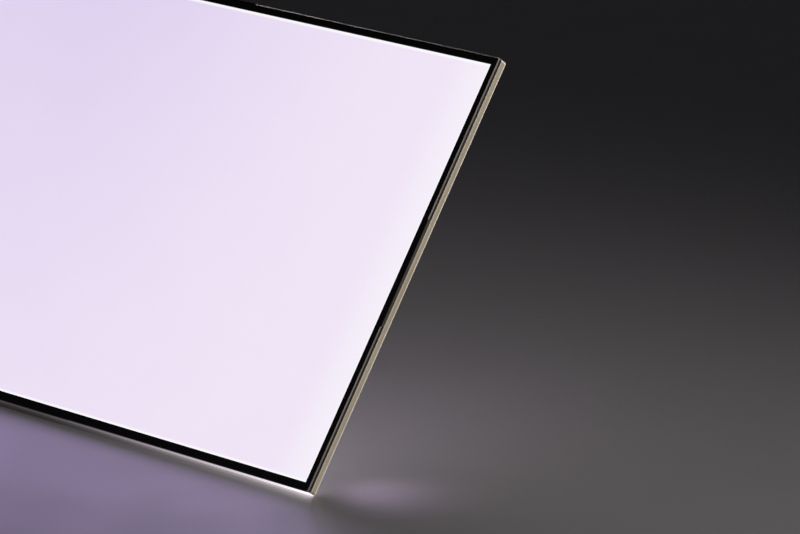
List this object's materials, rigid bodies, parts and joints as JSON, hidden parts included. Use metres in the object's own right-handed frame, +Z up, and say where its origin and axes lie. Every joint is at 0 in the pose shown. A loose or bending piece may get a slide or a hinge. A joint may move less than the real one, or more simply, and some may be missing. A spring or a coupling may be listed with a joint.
{
  "type": "led panel light",
  "caption": "Thin edge-lit LED panel light with a narrow dark bezel and ivory frame, leaning back on a fold-out rear stand, with a rear driver housing.",
  "frame": {"origin": "centre of the footprint on the surface that the light stands on", "axes": "+X along the panel's width, to the right seen from the front, +Y from the lit front to the back, +Z up"},
  "size_m": [0.306, 0.1228, 0.152],
  "materials": {
    "bezel_black": "fine matt moulded black",
    "ivory_frame": "satin ivory moulding",
    "black_tape": "matt light-blocking tape",
    "lit_diffuser": "fine matt diffuser sheet, lit lilac-white",
    "optical_film": "clear prismatic film",
    "white_film": "white film",
    "acrylic": "polished clear acrylic",
    "grey_foam": "closed-cell foam",
    "plate_aluminium": "satin anodised",
    "bare_aluminium": "natural",
    "thermal_tape": "soft thermal tape",
    "white_board": "white solder mask",
    "led_package": "phosphor in a white package",
    "flex_film": "amber flexible circuit",
    "steel_screws": "nickel plated",
    "housing_grey": "fine spark-eroded texture, dark grey",
    "brass_parts": "turned",
    "black_screws": "black zinc",
    "green_board": "green solder mask",
    "dark_component": "moulded epoxy",
    "cream_connector": "moulded",
    "inlet_black": "moulded",
    "plated_pin": "nickel plated",
    "plunger_white": "moulded",
    "button_grey": "satin",
    "wheel_grey": "fine texture",
    "blue_component": "moulded",
    "indicator_package": "white package",
    "clear_pipe": "clear light pipe",
    "hinge_steel": "zinc plated",
    "pin_steel": "ground",
    "washer_nylon": "nylon",
    "leg_paint": "fine powder coat",
    "foot_rubber": "matt",
    "magnet_nickel": "nickel plated"
  },
  "bodies": {
    "panel": {"front_bezel": "bezel_black", "mould_frame": "ivory_frame", "rim_tape": "black_tape", "top_diffuser": "lit_diffuser", "upper_prism_film": "optical_film", "lower_prism_film": "optical_film", "lower_diffuser": "white_film", "light_guide": "acrylic", "reflector_sheet": "white_film", "foam_backing": "grey_foam", "back_plate": "plate_aluminium", "left_heat_rail": "bare_aluminium", "right_heat_rail": "bare_aluminium", "left_board_tape": "thermal_tape", "right_board_tape": "thermal_tape", "left_led_board": "white_board", "right_led_board": "white_board", "left_leds": "led_package", "right_leds": "led_package", "left_flex": "flex_film", "right_flex": "flex_film", "plate_screws": "steel_screws", "rear_housing": "housing_grey", "housing_standoffs": "brass_parts", "housing_screws": "black_screws", "board_standoffs": "brass_parts", "board_screws": "steel_screws", "driver_board": "green_board", "inductor": "dark_component", "capacitors": "bare_aluminium", "driver_chips": "dark_component", "power_transistors": "dark_component", "flex_connectors": "cream_connector", "dc_inlet": "inlet_black", "dc_inlet_pin": "plated_pin", "switch_body": "dark_component", "dimmer_pot": "blue_component", "indicator_led": "indicator_package", "indicator_light_pipe": "clear_pipe", "tripod_insert": "brass_parts", "left_hinge_bracket": "hinge_steel", "right_hinge_bracket": "hinge_steel", "hinge_screws": "steel_screws", "hinge_pin": "pin_steel", "pin_clips": "pin_steel", "friction_washers": "washer_nylon", "catch_magnet": "magnet_nickel"},
    "power_button": {"power_button": "button_grey", "switch_plunger": "plunger_white"},
    "dimmer": {"dimmer_wheel": "wheel_grey", "dimmer_shaft": "plunger_white"},
    "stand": {"stand_leg": "leg_paint", "leg_foot_pad": "foot_rubber", "strike_disc": "hinge_steel"}
  },
  "joints": [
    {"name": "stand_fold", "type": "hinge", "parent": "panel", "child": "stand", "pos_m": [0, 0.01373, 0.08646], "axis": [-1, 0, 0], "range_deg": [0, 66]},
    {"name": "power_press", "type": "slide", "parent": "panel", "child": "power_button", "axis": [0, -0.7986, 0.6018], "range_m": [0, 0.0006], "stiffness_N_per_m": 800},
    {"name": "dimmer_turn", "type": "hinge", "parent": "panel", "child": "dimmer", "pos_m": [0.055, 0.03851, 0.11286], "axis": [0, 0.7986, -0.6018], "range_deg": [-140, 140]}
  ]
}
